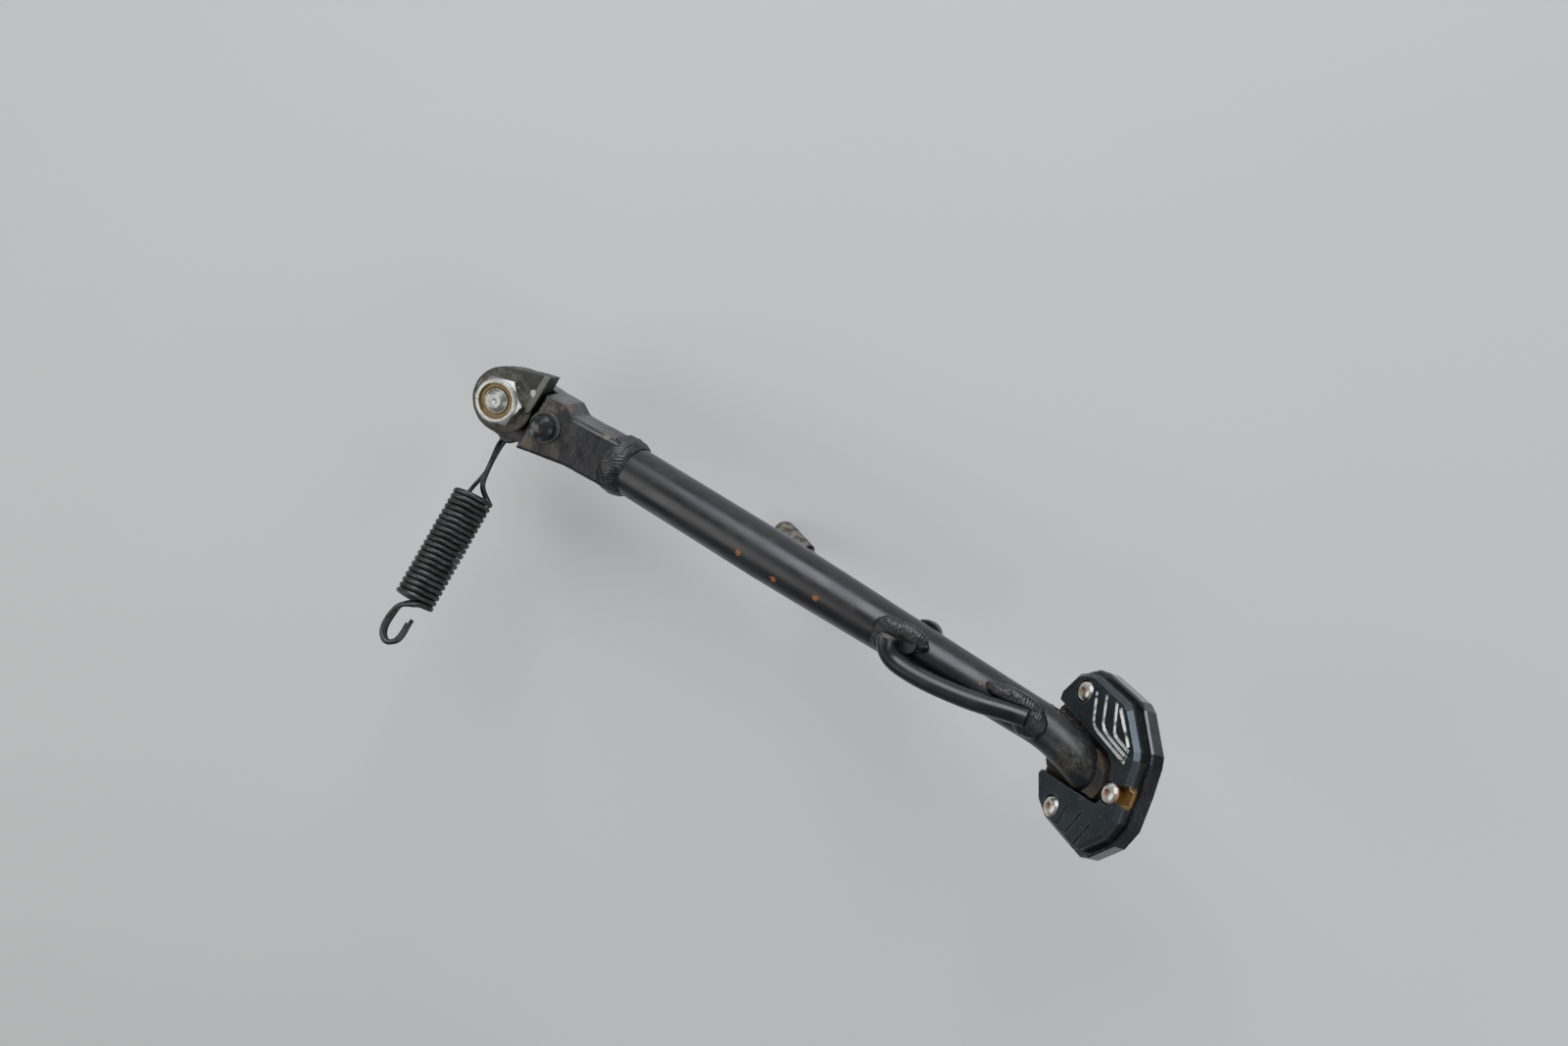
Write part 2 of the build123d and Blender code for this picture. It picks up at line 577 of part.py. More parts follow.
# ---------------------------------------------------------------- build
os.makedirs("parts", exist_ok=True)

head = forged_head()
save(head, "leg_head")
save(pivot_bush(), "pivot_bush")
save(washer(13.2, TONGUE_TOP + WASHER_GAP, 0.0), "thrust_washer_near")
save(washer(11.4, BOLT_SEAT, FAR_WASHER_Z), "thrust_washer_far")
save(pivot_bolt(), "pivot_bolt")
save(pivot_nut(), "pivot_nut")
save(locking_ring(), "nut_locking_ring")
save(frame_lug(), "frame_lug")
save(stud_collar(), "stud_collar")
save(stop_stud(), "stop_stud")
save(spring_pin(), "spring_pin")

outer = TUBE * leg_body(0.0, 0.8)
inner = TUBE * leg_body(TUBE_WALL, -1.0)
below_plate = FOOT * (Pos(0, 0, PLATE_TOP - 60) * Box(200, 200, 120))
tube_solid = outer - below_plate
save(leg_tube(outer, inner, below_plate), "leg_tube")
save(head_weld(head, tube_solid), "head_weld")

tang = largest(TUBE * pipe(Spline(*TANG_POINTS), TANG_R) - tube_solid)
save(tang, "kick_tang")
prong = TUBE * pipe(Spline(*PRONG_POINTS), PRONG_R)
save(prong, "rest_prong")
save(prong_cap(), "prong_cap")
save(tang_weld(FRONT_BLOBS, tube_solid, tang, prong), "tang_weld_front")
save(tang_weld(REAR_BLOBS, tube_solid, tang), "tang_weld_rear")
save(prong_weld(tube_solid, prong), "prong_weld")

save(pad_top(tube_solid), "pad_top")
save(foot_plate(), "foot_plate")
save(foot_weld(tube_solid, inner), "foot_weld")
save(pad_base(), "pad_base")
save(pad_screws(), "pad_screws")

save(spring(wire=2.9, od=21.4, turns=20, inset=0.0, loop_z=-15.25, phase=20,
            leg=OUTER_LEG, hook=OUTER_HOOK), "spring_outer")
save(spring(wire=2.3, od=14.6, turns=25.3333, inset=0.6, loop_z=-18.85, phase=-100,
            leg=INNER_LEG, hook=INNER_HOOK), "spring_inner")
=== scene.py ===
"""A black steel kickstand leg with its pivot, springs, tang, prong and foot pad.

The pivot turns about Z through the origin. The tube runs from the head towards +X,
rising in Z, and ends in a foot that is tilted more steeply. Sizes are in millimetres
where MM scales them, and otherwise in metres.
"""
import bpy
import bmesh
import json
import math
import random
import numpy as np
from mathutils import Vector, Matrix, noise

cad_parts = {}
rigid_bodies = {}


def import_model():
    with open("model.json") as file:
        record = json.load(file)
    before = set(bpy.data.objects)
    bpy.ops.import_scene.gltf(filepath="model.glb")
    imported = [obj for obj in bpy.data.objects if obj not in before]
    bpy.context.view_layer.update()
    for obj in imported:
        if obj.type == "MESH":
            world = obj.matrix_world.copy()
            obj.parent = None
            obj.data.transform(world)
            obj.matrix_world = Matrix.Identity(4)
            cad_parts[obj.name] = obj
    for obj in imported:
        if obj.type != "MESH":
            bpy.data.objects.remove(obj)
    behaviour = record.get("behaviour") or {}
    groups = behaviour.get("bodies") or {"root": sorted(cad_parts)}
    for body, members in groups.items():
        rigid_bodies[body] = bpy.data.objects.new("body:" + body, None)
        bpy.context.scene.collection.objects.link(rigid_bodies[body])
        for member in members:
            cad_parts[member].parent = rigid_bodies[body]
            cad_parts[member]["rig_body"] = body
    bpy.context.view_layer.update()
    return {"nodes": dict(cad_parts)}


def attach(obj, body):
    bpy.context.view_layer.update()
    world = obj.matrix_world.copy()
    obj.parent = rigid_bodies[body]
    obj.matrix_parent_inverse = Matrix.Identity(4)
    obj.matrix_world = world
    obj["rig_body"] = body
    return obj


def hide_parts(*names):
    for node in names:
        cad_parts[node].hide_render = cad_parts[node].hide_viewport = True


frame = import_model()
nodes = frame["nodes"]
MM = 0.001


# ------------------------------------------------------------ local frames
def turn(degrees, axis):
    return Matrix.Rotation(math.radians(degrees), 4, axis)


# Tube frame: X runs along the tube axis. Foot frame: Z is square to the pad's top.
TUBE = Matrix.Translation(Vector((70, -2.5, 2.5)) * MM) @ turn(0.8, "Z") @ turn(-14.2, "Y")
TUBE_INV = TUBE.inverted()
FOOT = Matrix.Translation(Vector((322.6, -0.6, 72.2)) * MM) @ turn(-55.5, "Y")
FOOT_INV = FOOT.inverted()
FOOT_NORMAL = FOOT.to_3x3() @ Vector((0, 0, 1))
DUST_SIDE = Vector((-0.2983, 0.7334, 0.6109)).normalized()  # faces this way catch dust

# Tube radii in mm: wide at the head, narrowing to the end.
TUBE_WIDE = 12.7
TUBE_NARROW = 9.6
TAPER_END = 232
TAPER_LENGTH = 144


def place(local_frame, *point):
    """A point of a local frame in object millimetres."""
    return tuple(c / MM for c in local_frame @ (Vector(point) * MM))


def link_object(name, data):
    ob = bpy.data.objects.new(name, data)
    bpy.context.scene.collection.objects.link(ob)
    return ob


# ------------------------------------------------------------ material kit
class Material:
    """A Principled material built up in layers, each laid by cover() over the last."""

    def __init__(self, name, colour, rough, metal=0.0):
        self.material = bpy.data.materials.new(name)
        self.material.use_nodes = True
        self.tree = self.material.node_tree
        self.tree.nodes.clear()
        output = self.node("ShaderNodeOutputMaterial")
        self.shader = self.node("ShaderNodeBsdfPrincipled")
        self.link(self.shader.outputs[0], output.inputs[0])
        self.colour = colour
        self.rough = rough
        self.metal = metal
        self.sources = {}
        self.normal = None

    def node(self, kind, **settings):
        node = self.tree.nodes.new(kind)
        for key, value in settings.items():
            setattr(node, key, value)
        return node

    def link(self, output, socket):
        self.tree.links.new(output, socket)

    def put(self, socket, value):
        """Link a socket, or set a number or an RGB colour."""
        if isinstance(value, bpy.types.NodeSocket):
            self.link(value, socket)
        elif isinstance(value, tuple):
            socket.default_value = (*value, 1.0)
        else:
            socket.default_value = value

    def source(self, kind, output):
        """An output of an input node that is made once, on first use."""
        if kind not in self.sources:
            self.sources[kind] = self.node(kind)
        return self.sources[kind].outputs[output]

    def coords(self):
        return self.source("ShaderNodeTexCoord", "Object")

    def surface_normal(self):
        return self.source("ShaderNodeNewGeometry", "Normal")

    def calc(self, operation, a, b=0.0, clamp=False):
        node = self.node("ShaderNodeMath", operation=operation, use_clamp=clamp)
        self.put(node.inputs[0], a)
        self.put(node.inputs[1], b)
        return node.outputs[0]

    def mul(self, product, *factors):
        for factor in factors:
            product = self.calc("MULTIPLY", product, factor)
        return product

    def length(self, x, y):
        return self.calc("SQRT", self.calc("ADD", self.mul(x, x), self.mul(y, y)))

    def vector_calc(self, operation, vector, constant):
        node = self.node("ShaderNodeVectorMath", operation=operation)
        self.link(vector, node.inputs[0])
        node.inputs[1].default_value = constant
        return node.outputs["Value"]

    def ramp(self, value, lo, hi, start=0.0, end=1.0):
        """A smooth step from start at lo to end at hi."""
        node = self.node("ShaderNodeMapRange", interpolation_type="SMOOTHSTEP")
        for socket, setting in zip(node.inputs, (value, lo, hi, start, end)):
            self.put(socket, setting)
        return node.outputs[0]

    def noise(self, scale, detail=4.0, rough=0.55, coords=None):
        node = self.node("ShaderNodeTexNoise")
        node.inputs["Scale"].default_value = scale
        node.inputs["Detail"].default_value = detail
        node.inputs["Roughness"].default_value = rough
        self.link(coords or self.coords(), node.inputs["Vector"])
        return node.outputs[0]

    def patch(self, scale, lo, hi, detail=4.0, rough=0.55):
        """A mask of noise patches."""
        return self.ramp(self.noise(scale, detail, rough), lo, hi)

    def local(self, inverse, scales=(1, 1, 1)):
        """Object coordinates taken into a local frame and scaled per axis."""
        node = self.node("ShaderNodeCombineXYZ")
        for i, scale in enumerate(scales):
            row = inverse[i]
            turned = self.vector_calc("DOT_PRODUCT", self.coords(),
                                      tuple(row[j] * scale for j in range(3)))
            self.link(self.calc("ADD", turned, row[3] * scale), node.inputs[i])
        return node.outputs[0]

    def split(self, vector):
        node = self.node("ShaderNodeSeparateXYZ")
        self.link(vector, node.inputs[0])
        return node.outputs

    def spot(self, centre, radius, ragged, soft, scale):
        """1 inside a ragged spot, its centre and radius in mm; scale is the edge noise's."""
        distance = self.vector_calc("DISTANCE", self.coords(), Vector(centre) * MM)
        wobble = self.calc("MULTIPLY", self.calc("SUBTRACT", self.noise(scale, detail=3.0), 0.5),
                           2.4 * ragged * radius * MM)
        return self.ramp(self.calc("ADD", distance, wobble),
                         lo=radius * MM * soft, hi=radius * MM * 1.1, start=1.0, end=0.0)

    def facing(self, direction, lo, hi):
        along = self.vector_calc("DOT_PRODUCT", self.surface_normal(), direction)
        return self.ramp(along, lo, hi)

    def edge(self, radius):
        """1 on edges, where a normal bevelled over radius (mm) leaves the true one."""
        bevel = self.node("ShaderNodeBevel", samples=4)
        bevel.inputs[0].default_value = radius * MM
        dot = self.node("ShaderNodeVectorMath", operation="DOT_PRODUCT")
        self.link(bevel.outputs[0], dot.inputs[0])
        self.link(self.surface_normal(), dot.inputs[1])
        return self.ramp(self.calc("SUBTRACT", 1.0, dot.outputs["Value"]), lo=0.03, hi=0.25)

    def mix(self, mask, a, b, kind="FLOAT"):
        first, result = (6, 2) if kind == "RGBA" else (2, 0)
        node = self.node("ShaderNodeMix", data_type=kind)
        self.put(node.inputs[0], mask)
        self.put(node.inputs[first], a)
        self.put(node.inputs[first + 1], b)
        return node.outputs[result]

    def cover(self, mask, colour=None, rough=None, metal=None, amount=None):
        """Lay the given values over the masked part; returns the mask as used."""
        if amount is not None:
            mask = self.mul(mask, amount)
        if colour is not None:
            self.colour = self.mix(mask, self.colour, colour, "RGBA")
        if rough is not None:
            self.rough = self.mix(mask, self.rough, rough)
        if metal is not None:
            self.metal = self.mix(mask, self.metal, metal)
        return mask

    def bump(self, height, depth, strength):
        """Relief on top of any earlier relief; depth in mm."""
        node = self.node("ShaderNodeBump")
        node.inputs["Strength"].default_value = strength
        node.inputs["Distance"].default_value = depth * MM
        self.link(height, node.inputs["Height"])
        if self.normal is not None:
            self.link(self.normal, node.inputs["Normal"])
        self.normal = node.outputs[0]

    def finish(self, coat=0.0, coat_rough=0.1, specular=0.5):
        settings = {"Base Color": self.colour, "Roughness": self.rough, "Metallic": self.metal,
                    "Coat Weight": coat, "Coat Roughness": coat_rough,
                    "Specular IOR Level": specular}
        if self.normal is not None:
            settings["Normal"] = self.normal
        for socket, value in settings.items():
            self.put(self.shader.inputs[socket], value)
        return self.material


# ------------------------------------------------------------ materials
DUST = (0.30, 0.25, 0.17)
RUST = (0.20, 0.075, 0.025)


def scaled(colour, factor):
    return tuple(c * factor for c in colour)


def black_paint(name, rough, dust, wear, base=(0.0055, 0.0055, 0.0065), peel=0.05,
                chips=(), dusty=(), stains=()):
    """Black paint with dust, worn edges, long scratches and placed marks."""
    m = Material(name, base, rough - 0.05)
    cloudy = m.noise(scale=55.0, detail=5.0, rough=0.6)
    m.cover(m.ramp(cloudy, lo=0.35, hi=0.7), colour=scaled(base, 1.7))
    m.cover(m.ramp(cloudy, lo=0.3, hi=0.7), rough=rough + 0.10)
    specks = m.patch(scale=1500.0, detail=3.0, rough=0.7, lo=0.60, hi=0.72)
    film = m.patch(scale=120.0, detail=6.0, rough=0.65, lo=0.42, hi=0.72)
    film_amount = 0.35
    settled = m.mul(m.facing(DUST_SIDE, lo=0.2, hi=0.95),
                    m.calc("MAXIMUM", specks, m.mul(film, film_amount)))
    m.cover(m.calc("MULTIPLY", settled, dust, clamp=True), colour=DUST, rough=0.85)
    for centre, radius, amount in dusty:
        powder = m.mul(m.spot(centre, radius, ragged=0.9, soft=0.2, scale=260.0),
                       m.patch(scale=650.0, detail=5.0, rough=0.7, lo=0.36, hi=0.68))
        powder = m.cover(powder, rough=0.9, amount=amount)
        m.cover(powder, colour=(0.17, 0.15, 0.105), amount=0.6)
    for centre, radius, colour, amount in stains:
        m.cover(m.spot(centre, radius, ragged=0.6, soft=0.5, scale=420.0),
                colour=colour, rough=0.75, amount=amount)
    m.cover(m.mul(m.edge(radius=0.6), m.patch(scale=230.0, rough=0.6, lo=0.40, hi=0.66)),
            colour=(0.17, 0.14, 0.11), rough=0.5, amount=wear)
    for centre, radius in chips:
        chip = m.cover(m.spot(centre, radius, ragged=0.9, soft=0.8, scale=900.0),
                       colour=RUST, rough=0.85)
        m.bump(m.calc("SUBTRACT", 1.0, chip), depth=0.12, strength=0.8)
    # Noise drawn out along the tube makes the scratches.
    along = m.local(TUBE_INV, scales=(90.0, 3200.0, 3200.0))
    scratches = m.noise(scale=1.0, detail=2.0, rough=0.5, coords=along)
    m.cover(m.ramp(scratches, lo=0.70, hi=0.76), colour=(0.06, 0.06, 0.06), amount=0.35)
    m.bump(m.noise(scale=700.0, detail=5.0, rough=0.6), depth=0.05, strength=peel * 4)
    return m.finish(coat=0.08, coat_rough=0.25, specular=0.4)


def bare_metal(name, base, rough, dirt_amount, dirt=(0.12, 0.09, 0.05), radial=False, worn=0.0):
    """Bare metal with dirt; radial adds turning rings, worn brightens the edges."""
    m = Material(name, base, rough, metal=1.0)
    mottle = m.noise(scale=320.0, detail=5.0, rough=0.65)
    m.cover(m.ramp(mottle, lo=0.38, hi=0.68), colour=scaled(base, 0.72))
    m.cover(m.patch(scale=420.0, detail=6.0, rough=0.7, lo=0.52, hi=0.70),
            colour=dirt, rough=0.75, metal=0.1, amount=dirt_amount)
    if worn:
        m.cover(m.edge(radius=0.5), colour=(0.8, 0.79, 0.75), rough=0.25, amount=worn)
    if radial:
        x, y, _ = m.split(m.coords())
        ring_rate = 9000.0  # radians per metre
        m.bump(m.calc("SINE", m.mul(m.length(x, y), ring_rate)), depth=0.02, strength=0.25)
    m.bump(mottle, depth=0.06, strength=0.6)
    m.bump(m.noise(scale=1600.0, rough=0.6), depth=0.03, strength=0.5)
    return m.finish()


def lug_cast():
    """Dark casting, scratched in arcs round the pivot."""
    m = Material("lug_cast_worn", (0.085, 0.080, 0.062), rough=0.62, metal=0.35)
    mottle = m.noise(scale=110.0, detail=6.0, rough=0.65)
    grain = m.noise(scale=900.0, detail=5.0, rough=0.65)
    x, y, z = m.split(m.coords())
    radius = m.length(x, y)
    radial_rate, angular_rate = 1700.0, 1.6  # noise units per metre and per radian
    polar = m.node("ShaderNodeCombineXYZ")
    m.link(m.mul(radius, radial_rate), polar.inputs[0])
    m.link(m.mul(m.calc("ARCTAN2", y, x), angular_rate), polar.inputs[1])
    arcs = m.noise(scale=1.0, detail=3.0, rough=0.6, coords=polar.outputs[0])
    m.cover(m.ramp(mottle, lo=0.36, hi=0.66), colour=(0.032, 0.031, 0.026))
    m.cover(m.ramp(grain, lo=0.55, hi=0.72), colour=(0.26, 0.235, 0.17), amount=0.6)
    scratch = m.cover(m.ramp(arcs, lo=0.60, hi=0.68),
                      colour=(0.36, 0.34, 0.28), rough=0.35, amount=0.7)
    # Outer rim darkened as painted shade on the side wall, then the raised part above it in Z.
    m.cover(m.ramp(radius, lo=0.0150, hi=0.0166), colour=(0.02, 0.02, 0.018), amount=0.8)
    m.cover(m.ramp(z, lo=0.0117, hi=0.0124), colour=(0.13, 0.125, 0.10), amount=0.75)
    worn = m.cover(m.mul(m.edge(radius=0.5), m.patch(scale=300.0, detail=3.0, lo=0.38, hi=0.6)),
                   colour=(0.55, 0.54, 0.50), amount=0.8)
    # Painted highlight: a small bright spot on the eye's upper edge.
    m.cover(m.spot((13.4, 10.5, 12.0), radius=2.0, ragged=0.5, soft=0.5, scale=900.0),
            colour=(0.6, 0.6, 0.56), amount=0.8)
    m.cover(m.calc("MAXIMUM", scratch, worn), metal=0.85)
    m.bump(mottle, depth=0.30, strength=0.7)
    m.bump(grain, depth=0.10, strength=0.8)
    m.bump(arcs, depth=0.05, strength=0.6)
    return m.finish()


def pad_top():
    """Grey pad top with a silvered recess; ramp limits are metres in the foot frame."""
    m = Material("pad_grey_anodised", (0.022, 0.028, 0.032), rough=0.42, metal=0.75)
    level = m.split(m.local(FOOT_INV))[2]
    m.cover(m.patch(scale=90.0, lo=0.3, hi=0.7), colour=(0.034, 0.041, 0.046))
    recess = m.ramp(level, lo=-0.00004, hi=-0.00012)
    x, y, _ = m.split(m.local(FOOT_INV))
    slant_x, slant_y = 0.562, 0.827  # direction square to the slanted edge
    slant = m.calc("ADD", m.mul(x, slant_x), m.mul(y, slant_y))
    field = m.mul(m.ramp(slant, lo=0.0256, hi=0.0251), m.ramp(y, lo=0.0286, hi=0.0281),
                  m.ramp(x, lo=0.0198, hi=0.0193), m.ramp(x, lo=-0.0192, hi=-0.0187))
    silver = m.mul(recess, m.ramp(y, lo=0.0085, hi=0.0100), field,
                   m.ramp(level, lo=-0.00125, hi=-0.00115))
    silver = m.mul(silver, m.patch(scale=260.0, detail=3.0, lo=0.30, hi=0.52))
    m.cover(recess, colour=(0.075, 0.085, 0.092), amount=0.35)
    m.cover(silver, colour=(0.72, 0.72, 0.70))
    # Painted shade: the slot is darkened below about 2.2 to 3.2 mm deep.
    m.cover(m.ramp(level, lo=-0.0022, hi=-0.0032), colour=(0.020, 0.022, 0.024))
    gold_centre = tuple(c / MM for c in FOOT @ Vector((0.0256, 0.0006, -0.0030)))
    gold = m.mul(m.spot(gold_centre, radius=5.2, ragged=0.2, soft=0.8, scale=600.0),
                 m.ramp(level, lo=-0.0006, hi=-0.0012))
    m.cover(gold, colour=(0.20, 0.115, 0.035), amount=0.9)
    m.cover(m.mul(m.edge(radius=0.5), m.patch(scale=240.0, detail=3.0, lo=0.34, hi=0.6)),
            colour=(0.42, 0.43, 0.43), amount=0.6)
    m.cover(m.patch(scale=500.0, detail=6.0, rough=0.7, lo=0.58, hi=0.72),
            colour=(0.24, 0.20, 0.14), rough=0.7, metal=0.2, amount=0.35)
    m.cover(silver, rough=0.28)
    m.bump(m.noise(scale=2200.0, detail=3.0, rough=0.6), depth=0.02, strength=0.5)
    return m.finish()


def pad_base():
    m = Material("pad_black_gloss", (0.008, 0.008, 0.010), rough=0.22, metal=0.35)
    m.cover(m.patch(scale=140.0, lo=0.35, hi=0.7), colour=(0.016, 0.016, 0.019))
    # Painted reflection: every edge of the gloss black is lightened evenly, as a highlight on the
    # chamfers.
    m.cover(m.edge(radius=0.6), colour=(0.30, 0.31, 0.32), amount=0.45)
    m.cover(m.patch(scale=600.0, detail=6.0, rough=0.7, lo=0.58, hi=0.70),
            colour=(0.22, 0.17, 0.11), rough=0.7, metal=0.0, amount=0.4)
    m.bump(m.noise(scale=1400.0, detail=3.0), depth=0.02, strength=0.4)
    return m.finish(coat=0.3, coat_rough=0.15)


def rusty(name, black, base=(0.040, 0.028, 0.020)):
    """Rust with remains of black; black is how strongly those show."""
    m = Material(name, base, rough=0.82, metal=0.15)
    mottle = m.noise(scale=150.0, detail=6.0, rough=0.65)
    grain = m.noise(scale=900.0, detail=6.0, rough=0.7)
    m.cover(m.ramp(mottle, lo=0.35, hi=0.65), colour=(0.05, 0.030, 0.016))
    m.cover(m.ramp(grain, lo=0.52, hi=0.70), colour=(0.17, 0.12, 0.07), amount=0.5)
    m.cover(m.patch(scale=70.0, lo=0.45, hi=0.60), colour=(0.014, 0.013, 0.012), amount=black)
    m.bump(mottle, depth=0.35, strength=0.8)
    m.bump(grain, depth=0.14, strength=0.8)
    return m.finish()


def screw_steel():
    """Bright screw heads with rust in the sockets and below the heads."""
    m = Material("screw_stainless_rusty_socket", (0.72, 0.69, 0.62), rough=0.28, metal=1.0)
    level = m.split(m.local(FOOT_INV))[2]
    mottle = m.noise(scale=500.0, detail=5.0, rough=0.6)
    m.cover(m.ramp(mottle, lo=0.35, hi=0.68), colour=(0.45, 0.42, 0.35))
    socket_amount = 0.7
    socket = m.mul(m.facing(FOOT_NORMAL, lo=0.35, hi=0.05),
                   m.ramp(level, lo=0.00130, hi=0.00118), socket_amount)
    rusted = m.calc("MAXIMUM", socket, m.ramp(level, lo=-0.00045, hi=-0.00060))
    m.cover(rusted, colour=(0.33, 0.12, 0.03), amount=0.85)
    m.cover(m.patch(scale=800.0, detail=5.0, lo=0.55, hi=0.66),
            colour=(0.20, 0.12, 0.05), amount=0.5)
    m.cover(rusted, rough=0.8, metal=0.2)
    m.bump(mottle, depth=0.05, strength=0.5)
    return m.finish()


def spring_steel(name, base):
    m = Material(name, base, rough=0.34, metal=0.75)
    mottle = m.noise(scale=160.0, detail=5.0, rough=0.6)
    grain = m.noise(scale=1300.0, rough=0.6)
    m.cover(m.ramp(mottle, lo=0.35, hi=0.66), colour=scaled(base, 0.45))
    m.cover(mottle, rough=0.58)
    m.cover(m.ramp(grain, lo=0.56, hi=0.72), colour=(0.22, 0.20, 0.15), metal=0.2, amount=0.45)
    m.cover(m.patch(scale=330.0, detail=6.0, rough=0.7, lo=0.60, hi=0.70),
            colour=(0.15, 0.08, 0.04), amount=0.45)
    m.bump(grain, depth=0.05, strength=0.6)
    return m.finish()


def dirty_rubber():
    m = Material("tip_rubber_dirty", (0.035, 0.032, 0.028), rough=0.82)
    mottle = m.noise(scale=260.0, detail=6.0, rough=0.65)
    m.cover(m.ramp(mottle, lo=0.36, hi=0.68), colour=(0.17, 0.145, 0.11))
    m.bump(mottle, depth=0.18, strength=0.8)
    m.bump(m.noise(scale=1500.0), depth=0.05, strength=0.7)
    return m.finish()


def loose_dirt(name, light, dark):
    m = Material(name, light, rough=0.9)
    mottle = m.noise(scale=700.0, detail=5.0, rough=0.6)
    m.cover(m.ramp(mottle, lo=0.35, hi=0.65), colour=dark)
    m.bump(mottle, depth=0.10, strength=0.8)
    return m.finish()


# Marks on the paint, in mm. Dust: centre, radius, amount.
HEAD_DUST = [
    ((22.5, 6.0, 12.5), 7.5, 0.95), ((31.0, 2.0, 12.5), 8.0, 0.35),
    ((21.0, -6.5, 12.5), 6.0, 0.55), ((24.0, 12.0, 10.0), 7.0, 0.5)]
TUBE_DUST = [(place(TUBE, 256, -2, 8), 12.0, 0.45)]
WELD_DUST = [((62.0, 6.0, 15.0), 7.0, 0.2)]
# Stains: centre, radius, colour, amount.
HEAD_STAINS = [
    ((31.5, -7.5, 12.5), 3.0, (0.10, 0.075, 0.045), 0.5),
    ((36.0, -11.0, 12.4), 3.0, (0.09, 0.065, 0.04), 0.4),
    ((21.0, -13.0, 12.5), 3.8, (0.10, 0.08, 0.05), 0.55),
    ((57.0, 9.0, 11.0), 2.2, (0.22, 0.17, 0.07), 0.6),
    ((31.0, 11.0, 9.0), 4.0, (0.16, 0.10, 0.06), 0.7)]
TANG_STAINS = [(place(TUBE, 164.3, 2.4, 18.6), 4.0, (0.12, 0.11, 0.095), 0.8)]
# Chips: centre, radius.
TUBE_CHIPS = [
    (place(TUBE, 80, -3.0, 12.0), 1.5), (place(TUBE, 101, -5.0, 10.6), 1.7),
    (place(TUBE, 124, -2.0, 11.4), 1.5), (place(TUBE, 141, 4.5, 9.8), 0.9),
    (place(TUBE, 208, 4.0, 8.8), 0.8)]

MATERIALS = {
    "leg_head": black_paint("head_black_forged", rough=0.36, dust=0.10, wear=0.55, peel=0.08,
                            dusty=HEAD_DUST, stains=HEAD_STAINS),
    "leg_tube": black_paint("tube_black_satin", rough=0.36, dust=0.07, wear=0.2, peel=0.03,
                            chips=TUBE_CHIPS, dusty=TUBE_DUST),
    "kick_tang": black_paint("tang_black_worn", rough=0.32, dust=0.08, wear=0.4,
                             stains=TANG_STAINS),
    "rest_prong": black_paint("prong_black", rough=0.36, dust=0.12, wear=0.2,
                              base=(0.006, 0.006, 0.007)),
    "weld": black_paint("weld_black", rough=0.36, dust=0.15, wear=0.3, peel=0.12,
                        dusty=WELD_DUST),
    "frame_lug": lug_cast(),
    "pivot_nut": bare_metal("nut_zinc_bright", base=(0.60, 0.60, 0.56), rough=0.26,
                            dirt=(0.10, 0.085, 0.05), dirt_amount=0.8, worn=0.7),
    "pivot_bolt": bare_metal("bolt_zinc", base=(0.48, 0.48, 0.44), rough=0.28,
                             dirt_amount=0.6, worn=0.5),
    "nut_locking_ring": bare_metal("ring_bronze", base=(0.17, 0.13, 0.065), rough=0.45,
                                   dirt=(0.10, 0.07, 0.03), dirt_amount=0.7),
    "washer": bare_metal("washer_steel", base=(0.40, 0.38, 0.34), rough=0.4,
                         dirt=(0.08, 0.06, 0.04), dirt_amount=0.8, radial=True),
    "pivot_bush": bare_metal("bush_bronze", base=(0.60, 0.42, 0.18), rough=0.42,
                             dirt=(0.10, 0.07, 0.03), dirt_amount=0.6, radial=True),
    "stop_stud": black_paint("stud_black_dome", base=(0.012, 0.012, 0.013), rough=0.24,
                             dust=0.2, wear=0.1, peel=0.03),
    "stud_collar": black_paint("collar_dark", base=(0.03, 0.029, 0.027), rough=0.45,
                               dust=0.6, wear=0.9, peel=0.1),
    "spring_pin": bare_metal("spring_pin_steel", base=(0.20, 0.20, 0.18), rough=0.45,
                             dirt_amount=0.7),
    "prong_cap": dirty_rubber(),
    "foot_plate": rusty("foot_plate_rusty", black=0.35),
    "foot_weld": rusty("foot_weld_rusty", base=(0.028, 0.021, 0.015), black=0.9),
    "pad_top": pad_top(),
    "pad_base": pad_base(),
    "pad_screws": screw_steel(),
    "spring_outer": spring_steel("spring_phosphate_outer", base=(0.050, 0.055, 0.052)),
    "spring_inner": spring_steel("spring_phosphate_inner", base=(0.045, 0.049, 0.046)),
}
# Pieces that share a material.
SHARED = {
    "head_weld": "weld", "tang_weld_front": "weld", "tang_weld_rear": "weld",
    "prong_weld": "weld", "thrust_washer_far": "washer", "thrust_washer_near": "washer",
}


def dress(ob, node_name):
    ob.data.materials.clear()
    ob.data.materials.append(MATERIALS[SHARED.get(node_name, node_name)])
    for face in ob.data.polygons:
        face.material_index = 0


def smooth_shade(mesh):
    for face in mesh.polygons:
        face.use_smooth = True


for node_name, ob in nodes.items():
    dress(ob, node_name)


# ------------------------------------------------------------ finer skins over the CAD shapes
def displace(mesh, relief):
    """Move each vertex along its normal by relief(point), both in mm."""
    points = np.empty(len(mesh.vertices) * 3, np.float32)
    normals = np.empty(len(mesh.vertices) * 3, np.float32)
    mesh.vertices.foreach_get("co", points)
    mesh.vertices.foreach_get("normal", normals)
    points = points.reshape(-1, 3)
    normals = normals.reshape(-1, 3)
    heights = np.array([relief(Vector(p) / MM) for p in points.tolist()], np.float32)
    mesh.vertices.foreach_set("co", (points + normals * heights[:, None] * MM).ravel())
    mesh.update()


